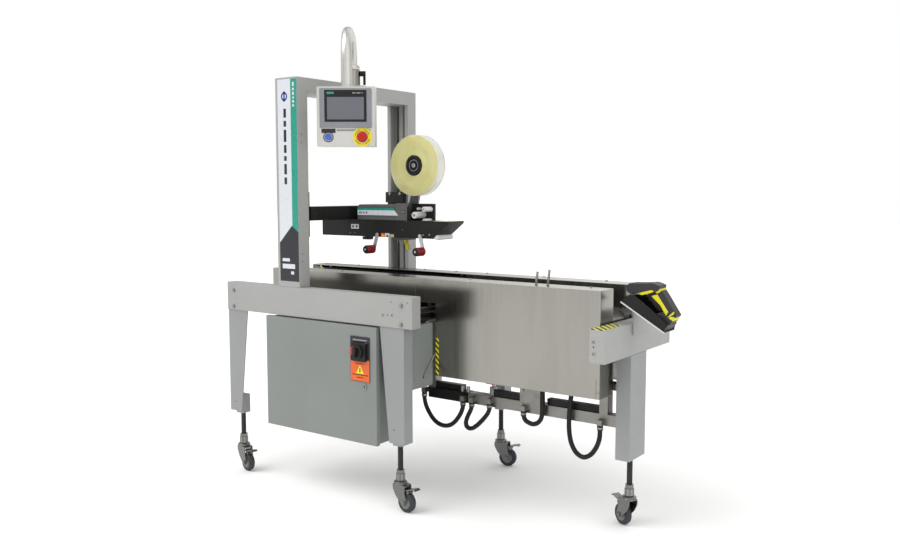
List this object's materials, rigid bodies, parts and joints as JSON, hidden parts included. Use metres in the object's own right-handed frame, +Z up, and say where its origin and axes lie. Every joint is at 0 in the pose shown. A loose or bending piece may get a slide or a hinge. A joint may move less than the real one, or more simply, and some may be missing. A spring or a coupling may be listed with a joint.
{
  "type": "carton sealing machine",
  "caption": "Side-belt carton sealer: gantry with a height-adjustable tape head over a roller bed, belt units, a hanging control box, an enclosure and casters.",
  "frame": {"origin": "on the floor under the middle of the machine's overall length and width", "axes": "+Z up, +X along the machine towards the infeed end, -Y towards the operator"},
  "size_m": [1.8178, 0.7834, 1.7954],
  "materials": {
    "frame_paint": "satin powder coat",
    "enclosure_paint": "fine textured powder coat",
    "stainless": "brushed",
    "zinc": "zinc plated",
    "black_paint": "satin",
    "black_plastic": "matt",
    "belt_rubber": "matt",
    "hose_rubber": "satin",
    "wheel_rubber": "matt",
    "tape_film": "gloss",
    "red_plastic": "gloss",
    "grip_plastic": "moulded",
    "blue_plastic": "gloss",
    "white_plastic": "smooth",
    "yellow_plastic": "moulded"
  },
  "bodies": {
    "frame": {"front_beam": "frame_paint", "rear_beam": "frame_paint", "front_left_leg": "frame_paint", "front_right_leg": "frame_paint", "rear_left_leg": "frame_paint", "rear_right_leg": "frame_paint", "front_post": "frame_paint", "rear_post": "frame_paint", "gantry_beam": "frame_paint", "roller_bed": "zinc", "lower_tape_head": "black_paint", "spine_beam": "stainless", "infeed_crossbeam": "frame_paint", "infeed_leg": "frame_paint", "drive_cabinet": "frame_paint", "enclosure_box": "enclosure_paint", "scanner_shelf": "black_paint", "hose_1": "hose_rubber", "hose_2": "hose_rubber", "hose_3": "hose_rubber", "hose_4": "hose_rubber"},
    "front_drive": {"front_drive_cover": "stainless", "front_belt": "belt_rubber", "front_infeed_panel": "stainless"},
    "front_drive_pulley": {"front_drive_pulley": "zinc"},
    "front_idle_pulley": {"front_idle_pulley": "zinc"},
    "rear_drive": {"rear_drive_cover": "stainless", "rear_belt": "belt_rubber", "rear_infeed_guide": "stainless"},
    "rear_drive_pulley": {"rear_drive_pulley": "zinc"},
    "rear_idle_pulley": {"rear_idle_pulley": "zinc"},
    "head": {"head_beam": "black_paint", "tape_head": "black_paint", "head_cover": "frame_paint"},
    "tape_reel": {"tape_hub": "black_plastic", "tape_roll": "tape_film"},
    "tape_roller_1": {"tape_roller_1": "white_plastic"},
    "tape_roller_2": {"tape_roller_2": "white_plastic"},
    "discharge_crank": {"discharge_crank": "grip_plastic"},
    "infeed_crank": {"infeed_crank": "grip_plastic"},
    "display_arm": {"display_arm": "stainless"},
    "display": {"control_box": "stainless"},
    "clamp_lever": {"clamp_lever": "black_plastic"},
    "emergency_stop": {"emergency_stop": "red_plastic"},
    "start_button": {"start_button": "blue_plastic"},
    "enclosure_door": {"enclosure_door": "enclosure_paint"},
    "isolator_handle": {"isolator_handle": "red_plastic"},
    "door_lock": {"door_lock": "zinc"},
    "scanner": {"scanner": "yellow_plastic"},
    "scanner_trigger": {"scanner_trigger": "black_plastic"},
    "caster_front_left_fork": {"caster_front_left_fork": "zinc"},
    "caster_front_left_wheel": {"caster_front_left_wheel": "wheel_rubber"},
    "caster_front_right_fork": {"caster_front_right_fork": "zinc"},
    "caster_front_right_wheel": {"caster_front_right_wheel": "wheel_rubber"},
    "caster_rear_left_fork": {"caster_rear_left_fork": "zinc"},
    "caster_rear_left_wheel": {"caster_rear_left_wheel": "wheel_rubber"},
    "caster_rear_right_fork": {"caster_rear_right_fork": "zinc"},
    "caster_rear_right_wheel": {"caster_rear_right_wheel": "wheel_rubber"},
    "caster_infeed_fork": {"caster_infeed_fork": "zinc"},
    "caster_infeed_wheel": {"caster_infeed_wheel": "wheel_rubber"}
  },
  "joints": [
    {"name": "front_drive_slide", "type": "slide", "parent": "frame", "child": "front_drive", "axis": [0, -1, 0], "range_m": [0, 0.13]},
    {"name": "rear_drive_slide", "type": "slide", "parent": "frame", "child": "rear_drive", "axis": [0, 1, 0], "range_m": [0, 0.13]},
    {"name": "front_drive_pulley_spin", "type": "hinge", "parent": "front_drive", "child": "front_drive_pulley", "pos_m": [-0.77003, -0.08433, 0.78], "axis": [0, 0, 1], "continuous": true},
    {"name": "front_idle_pulley_spin", "type": "hinge", "parent": "front_drive", "child": "front_idle_pulley", "pos_m": [-0.05583, -0.08433, 0.78], "axis": [0, 0, 1], "continuous": true},
    {"name": "rear_drive_pulley_spin", "type": "hinge", "parent": "rear_drive", "child": "rear_drive_pulley", "pos_m": [-0.77003, 0.12947, 0.78], "axis": [0, 0, 1], "continuous": true},
    {"name": "rear_idle_pulley_spin", "type": "hinge", "parent": "rear_drive", "child": "rear_idle_pulley", "pos_m": [-0.05583, 0.12947, 0.78], "axis": [0, 0, 1], "continuous": true},
    {"name": "head_lift", "type": "slide", "parent": "frame", "child": "head", "axis": [0, 0, 1], "range_m": [-0.06, 0.35]},
    {"name": "tape_reel_spin", "type": "hinge", "parent": "head", "child": "tape_reel", "pos_m": [-0.19593, 0.02257, 1.26], "axis": [0, 1, 0], "continuous": true},
    {"name": "tape_roller_1_spin", "type": "hinge", "parent": "head", "child": "tape_roller_1", "pos_m": [-0.17593, 0.02257, 1.066], "axis": [0, 1, 0], "continuous": true},
    {"name": "tape_roller_2_spin", "type": "hinge", "parent": "head", "child": "tape_roller_2", "pos_m": [-0.13993, 0.02257, 1.089], "axis": [0, 1, 0], "continuous": true},
    {"name": "discharge_crank_turn", "type": "hinge", "parent": "head", "child": "discharge_crank", "pos_m": [-0.35893, -0.02773, 0.985], "axis": [0, 1, 0], "range_deg": [-60, 60]},
    {"name": "infeed_crank_turn", "type": "hinge", "parent": "head", "child": "infeed_crank", "pos_m": [-0.14193, -0.02773, 0.985], "axis": [0, 1, 0], "range_deg": [-60, 60]},
    {"name": "display_arm_swing", "type": "hinge", "parent": "frame", "child": "display_arm", "pos_m": [-0.53593, 0.02257, 1.65], "axis": [0, 0, 1], "range_deg": [0, 18]},
    {"name": "display_swivel", "type": "hinge", "parent": "display_arm", "child": "display", "pos_m": [-0.33986, -0.22652, 1.55], "axis": [0, 0, 1], "range_deg": [-45, 90]},
    {"name": "clamp_lever_turn", "type": "hinge", "parent": "frame", "child": "clamp_lever", "pos_m": [-0.50895, 0.04209, 1.642], "axis": [0.8102, 0.5861, 0], "range_deg": [-90, 90]},
    {"name": "emergency_stop_push", "type": "slide", "parent": "display", "child": "emergency_stop", "axis": [-0.5861, 0.8102, 0], "range_m": [0, 0.005]},
    {"name": "start_button_push", "type": "slide", "parent": "display", "child": "start_button", "axis": [-0.5861, 0.8102, 0], "range_m": [0, 0.003], "stiffness_N_per_m": 800},
    {"name": "enclosure_door_swing", "type": "hinge", "parent": "frame", "child": "enclosure_door", "pos_m": [-0.67193, -0.33243, 0.45], "axis": [0, 0, -1], "range_deg": [0, 110]},
    {"name": "isolator_turn", "type": "hinge", "parent": "enclosure_door", "child": "isolator_handle", "pos_m": [-0.17393, -0.36343, 0.574], "axis": [0, 1, 0], "range_deg": [0, 90]},
    {"name": "door_lock_turn", "type": "hinge", "parent": "enclosure_door", "child": "door_lock", "pos_m": [-0.15393, -0.34943, 0.445], "axis": [0, 1, 0], "range_deg": [0, 90]},
    {"name": "scanner_lift", "type": "slide", "parent": "frame", "child": "scanner", "axis": [0.5075, 0, 0.8616], "range_m": [0, 0.2]},
    {"name": "scanner_trigger_pull", "type": "slide", "parent": "scanner", "child": "scanner_trigger", "axis": [0.5075, 0, 0.8616], "range_m": [0, 0.004], "stiffness_N_per_m": 500},
    {"name": "caster_front_left_swivel", "type": "hinge", "parent": "frame", "child": "caster_front_left_fork", "pos_m": [-0.85793, -0.31543, 0.1], "axis": [0, 0, 1], "continuous": true},
    {"name": "caster_front_left_roll", "type": "hinge", "parent": "caster_front_left_fork", "child": "caster_front_left_wheel", "pos_m": [-0.82663, -0.32208, 0.0375], "axis": [0.2079, 0.9781, 0], "continuous": true},
    {"name": "caster_front_right_swivel", "type": "hinge", "parent": "frame", "child": "caster_front_right_fork", "pos_m": [-0.01493, -0.31543, 0.1], "axis": [0, 0, 1], "continuous": true},
    {"name": "caster_front_right_roll", "type": "hinge", "parent": "caster_front_right_fork", "child": "caster_front_right_wheel", "pos_m": [0.01695, -0.31822, 0.0375], "axis": [0.0872, 0.9962, 0], "continuous": true},
    {"name": "caster_rear_left_swivel", "type": "hinge", "parent": "frame", "child": "caster_rear_left_fork", "pos_m": [-0.85793, 0.36057, 0.1], "axis": [0, 0, 1], "continuous": true},
    {"name": "caster_rear_left_roll", "type": "hinge", "parent": "caster_rear_left_fork", "child": "caster_rear_left_wheel", "pos_m": [-0.82624, 0.36502, 0.0375], "axis": [-0.1392, 0.9903, 0], "continuous": true},
    {"name": "caster_rear_right_swivel", "type": "hinge", "parent": "frame", "child": "caster_rear_right_fork", "pos_m": [-0.01493, 0.36057, 0.1], "axis": [0, 0, 1], "continuous": true},
    {"name": "caster_rear_right_roll", "type": "hinge", "parent": "caster_rear_right_fork", "child": "caster_rear_right_wheel", "pos_m": [0.01637, 0.36722, 0.0375], "axis": [-0.2079, 0.9781, 0], "continuous": true},
    {"name": "caster_infeed_swivel", "type": "hinge", "parent": "frame", "child": "caster_infeed_fork", "pos_m": [0.73007, 0.01957, 0.1], "axis": [0, 0, 1], "continuous": true},
    {"name": "caster_infeed_roll", "type": "hinge", "parent": "caster_infeed_fork", "child": "caster_infeed_wheel", "pos_m": [0.70182, 0.03459, 0.0375], "axis": [-0.4695, -0.8829, 0], "continuous": true}
  ],
  "couplings": [
    {"joint": "rear_drive_slide", "follows": "front_drive_slide", "ratio": 1},
    {"joint": "front_idle_pulley_spin", "follows": "front_drive_pulley_spin", "ratio": 1},
    {"joint": "rear_drive_pulley_spin", "follows": "front_drive_pulley_spin", "ratio": -1},
    {"joint": "rear_idle_pulley_spin", "follows": "front_drive_pulley_spin", "ratio": -1}
  ]
}
